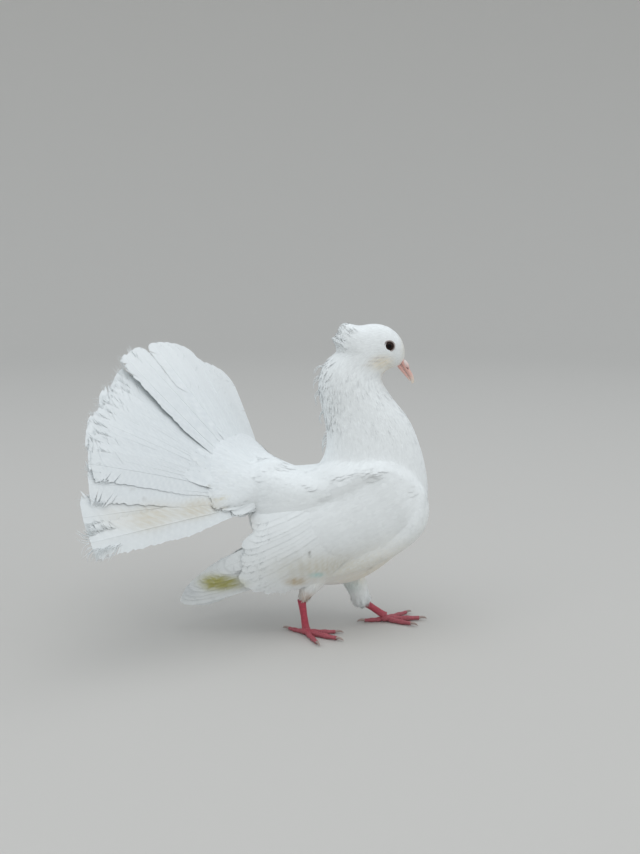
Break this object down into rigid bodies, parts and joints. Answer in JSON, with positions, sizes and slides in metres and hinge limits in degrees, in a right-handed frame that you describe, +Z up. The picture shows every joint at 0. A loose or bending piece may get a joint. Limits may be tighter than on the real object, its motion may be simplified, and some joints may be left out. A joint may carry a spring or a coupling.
{
  "type": "fantail pigeon model",
  "caption": "Life-size standing fantail pigeon, white, in mid stride, with its tail spread as a fan, folded wings, a small peaked crest and bare red feet.",
  "frame": {"origin": "middle of the base of the whole bird's box, on the floor plane", "axes": "+X the way the bird faces, +Y its left, +Z up"},
  "size_m": [0.264, 0.2808, 0.2524],
  "materials": {
    "white_feather": "soft matt white plumage with a cool grey shade and a little cream below",
    "bill": "smooth horn, pink, paler at the tip",
    "cere": "powdery pale pink skin",
    "eye": "wet, glossy, nearly black",
    "leg_skin": "scaly red skin",
    "claw": "dull horn, pale grey brown"
  },
  "bodies": {
    "root": {"torso": "white_feather", "neck": "white_feather", "head": "white_feather", "tail": "white_feather", "wing_left": "white_feather", "wing_right": "white_feather", "thigh_left": "white_feather", "thigh_right": "white_feather", "cere": "cere", "bill_upper": "bill", "bill_lower": "bill", "eye_left": "eye", "eye_right": "eye", "tarsus_left": "leg_skin", "tarsus_right": "leg_skin", "foot_left": "leg_skin", "foot_right": "leg_skin", "claw_left_hallux": "claw", "claw_left_inner": "claw", "claw_left_middle": "claw", "claw_left_outer": "claw", "claw_right_hallux": "claw", "claw_right_inner": "claw", "claw_right_middle": "claw", "claw_right_outer": "claw"}
  },
  "joints": []
}
